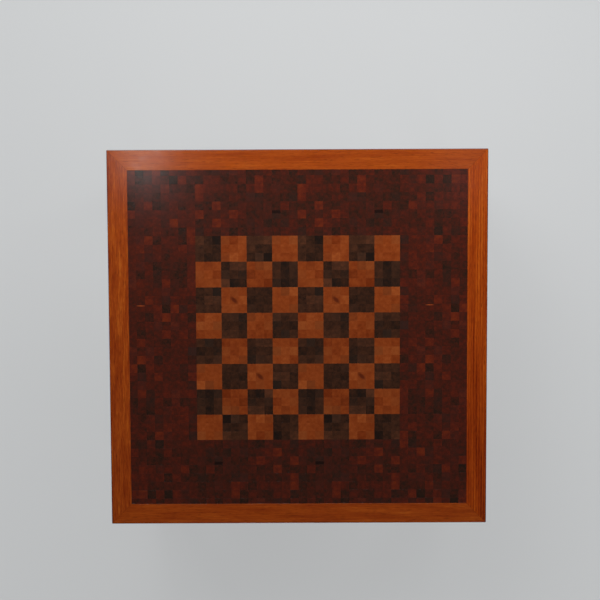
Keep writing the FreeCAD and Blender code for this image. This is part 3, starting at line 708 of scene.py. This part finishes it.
def cross_cutter():
    """A cross that tapers upwards into a screw's head, whose face is at z = 0."""
    bpy.ops.object.select_all(action="DESELECT")
    bpy.ops.mesh.primitive_cube_add(size=1, location=(0, 0, 0))
    cutter = bpy.context.object
    with editing(cutter):
        bpy.ops.mesh.select_all(action="SELECT")
        bpy.ops.transform.resize(value=(RECESS_SLOT, RECESS_SLOT, 2 * RECESS_DEPTH))
        pick(cutter, lambda face: abs(face.normal.z) < 0.5)
        bpy.ops.mesh.extrude_faces_move(TRANSFORM_OT_shrink_fatten={"value": RECESS_REACH})
        pick(cutter, lambda face: face.normal.z > 0.5)
        bpy.ops.transform.resize(value=(RECESS_TAPER, RECESS_TAPER, 1), center_override=(0, 0, 0))
        bpy.ops.mesh.select_all(action="SELECT")
        bpy.ops.mesh.normals_make_consistent(inside=False)
    return cutter


def wood_screw(radius):
    """A countersunk screw with a cross recess, standing on its head at z = 0."""
    bpy.ops.object.select_all(action="DESELECT")
    bpy.ops.mesh.primitive_circle_add(vertices=SCREW_SIDES, radius=radius, fill_type="NGON",
                                      location=(0, 0, 0))
    screw = bpy.context.object
    with editing(screw):
        bpy.ops.mesh.select_all(action="SELECT")
        before = 1.0
        for rise, share in SCREW_STEPS:
            bpy.ops.mesh.extrude_region_move(TRANSFORM_OT_translate={"value": (0, 0, rise * MM)})
            ratio = share / before
            bpy.ops.transform.resize(value=(ratio, ratio, 1), center_override=(0, 0, 0))
            before = share
        bpy.ops.mesh.select_all(action="SELECT")
        bpy.ops.mesh.normals_make_consistent(inside=False)
    cutter = cross_cutter()
    bpy.ops.object.select_all(action="DESELECT")
    screw.select_set(True)
    bpy.context.view_layer.objects.active = screw
    recess = screw.modifiers.new("recess", "BOOLEAN")
    recess.operation = "DIFFERENCE"
    recess.object = cutter
    bpy.ops.object.modifier_apply(modifier=recess.name)
    bpy.ops.object.shade_smooth_by_angle(angle=SCREW_CREASE)
    bpy.data.objects.remove(cutter)
    return screw


def make_screws():
    """One screw, copied into each button. Each was driven home at an angle of its own."""
    boxes = boxes_of_solids(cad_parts["button_screws"])
    first_low, first_high = boxes[0]
    pattern = wood_screw((first_high.x - first_low.x) / 2)
    pattern.data.materials.append(plated_steel())
    for number, (low, high) in enumerate(boxes):
        name = f"wood_screw_{number}"
        screw = bpy.data.objects.new(name, pattern.data.copy())
        screw.data.name = name
        bpy.context.scene.collection.objects.link(screw)
        with editing(screw):
            bpy.ops.mesh.select_all(action="SELECT")
            bpy.ops.transform.rotate(value=random.Random(name).uniform(0, math.pi / 2),
                                     orient_axis="Z", center_override=(0, 0, 0))
            bpy.ops.transform.translate(value=((low.x + high.x) / 2, (low.y + high.y) / 2, low.z))
        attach(screw, "root")
        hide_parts("button_screws")
    bpy.data.objects.remove(pattern)


SCUFF_STOPS = ((0.3, "1f1b18"), (0.55, "2a2521"), (0.8, "453e37"))
SCUFF_SIZE = 3 * MM
NYLON_GRAIN = 0.3 * MM      # the mould's spark-eroded texture
NYLON_GRAIN_DEPTH = 0.05 * MM


def dark_nylon():
    """Moulded dark brown nylon, scuffed paler in patches, with a fine matt grain."""
    material, tree, shader = new_finish("dark_nylon")
    place = add(tree, "TexCoord").outputs["Object"]
    scuffs = add(tree, "TexNoise", {"Vector": place, "Scale": 1 / SCUFF_SIZE, "Detail": 4.0}
                 ).outputs["Fac"]
    colour = add(tree, "ValToRGB", {"Fac": scuffs}, SCUFF_STOPS).outputs["Color"]
    grain = add(tree, "TexNoise", {"Vector": place, "Scale": 1 / NYLON_GRAIN}).outputs["Fac"]
    bump = add(tree, "Bump", {"Height": grain, "Strength": 0.2, "Distance": NYLON_GRAIN_DEPTH}
               ).outputs[0]
    tree.links.new(colour, shader.inputs["Base Color"])
    tree.links.new(bump, shader.inputs["Normal"])
    return material


def dress_underside():
    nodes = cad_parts
    # Beech is pale and close-grained, the pine of the core yellower, and the veneer a dull brown
    # with bolder, wavier lines.
    beech = {along: long_grain(f"sanded_beech_{along}", BEECH_STOPS, pore="7c5332", along=along,
                               wander=0.8 * MM, line_spacing=2.0 * MM, lacquered=False)
             for along in "xy"}
    dress(nodes["core_board"],
          long_grain("blockboard_pine", PINE_STOPS, pore="93693c", along="y", wander=1.0 * MM,
                     line_spacing=3.0 * MM, lacquered=False))
    dress(nodes["backing_veneer"],
          long_grain("oiled_backing_veneer", VENEER_STOPS, pore="35190b", along="y",
                     wander=3.0 * MM, line_spacing=4.0 * MM, lacquered=False))
    dress(nodes["floor_glides"], dark_nylon())
    dress(nodes["mitre_splines"], beech["x"])
    dress(nodes["top_buttons"], beech["y"])
    for name, node in nodes.items():
        if name.startswith("corner_block_"):
            dress(node, beech["x"])


make_camera()
make_lamps()
make_world()
make_floor()
make_mosaic()
dress_frame()
dress_underside()
make_screws()
bpy.context.scene.view_settings.view_transform = "Standard"
